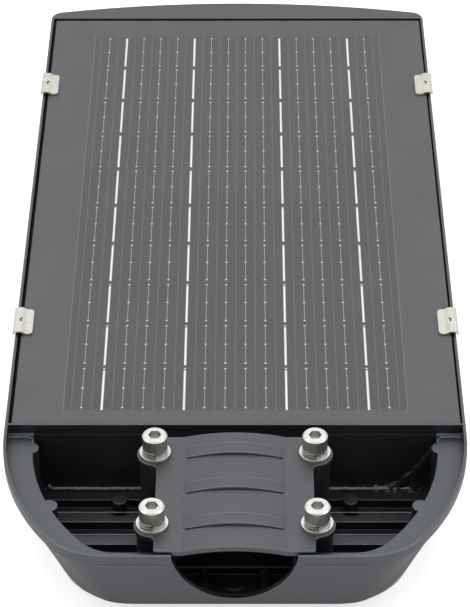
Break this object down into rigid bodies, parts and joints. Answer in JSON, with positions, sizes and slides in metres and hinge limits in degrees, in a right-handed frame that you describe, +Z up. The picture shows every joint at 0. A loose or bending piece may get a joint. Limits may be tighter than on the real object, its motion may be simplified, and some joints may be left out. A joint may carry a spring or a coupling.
{
  "type": "solar street light head",
  "caption": "Flat solar street light head: cast housing with a clamp well and pressed pole saddle at one end, framed solar panel on top, lamp window and motion sensor below.",
  "frame": {"origin": "on the plane that the head rests on, under the middle of its overall length and width", "axes": "+Z up, out of the solar panel; +Y from the pole clamp end to the tip; +X to the right when seen from the clamp end"},
  "size_m": [0.2442, 0.5372, 0.0667],
  "materials": {
    "coated_casting": "fine satin powder coat over die-cast aluminium",
    "coated_steel": "fine satin powder coat over pressed steel",
    "panel_glass": "textured low-glare solar glass",
    "cell": "dark grey coated silicon",
    "ribbon": "tinned copper ribbon",
    "backsheet": "dark grey laminate film",
    "black_rubber": "matt",
    "black_plastic": "moulded, satin",
    "clip_steel": "satin spring steel, warm nickel tone",
    "stainless": "polished stainless steel",
    "battery_wrap": "heat-shrink sleeve",
    "zinc_steel": "bright zinc plate",
    "circuit_board": "green solder mask",
    "white_board": "white solder mask on an aluminium core",
    "lamp_chip": "yellow phosphor",
    "clear_lens": "clear moulded polycarbonate",
    "sensor_lens": "milky polyethylene"
  },
  "bodies": {
    "root": {"housing": "coated_casting", "panel_glass": "panel_glass", "solar_cells": "cell", "cell_ribbons": "ribbon", "panel_backsheet": "backsheet", "panel_seal": "black_rubber", "junction_box": "black_plastic", "clip_near_left": "clip_steel", "clip_near_right": "clip_steel", "clip_far_left": "clip_steel", "clip_far_right": "clip_steel", "pole_saddle": "coated_steel", "saddle_screws": "stainless", "saddle_flat_washers": "stainless", "saddle_spring_washers": "stainless", "battery_pack": "battery_wrap", "battery_straps": "zinc_steel", "battery_strap_screws": "stainless", "controller_board": "circuit_board", "controller_parts": "black_plastic", "controller_screws": "stainless", "lens_plate": "clear_lens", "lens_gasket": "black_rubber", "lens_bezel": "coated_steel", "lens_bezel_screws": "stainless", "lamp_board": "white_board", "lamp_chips": "lamp_chip", "lamp_board_screws": "stainless", "sensor_lens": "sensor_lens", "sensor_board": "circuit_board", "sensor_board_screws": "stainless"}
  },
  "joints": []
}
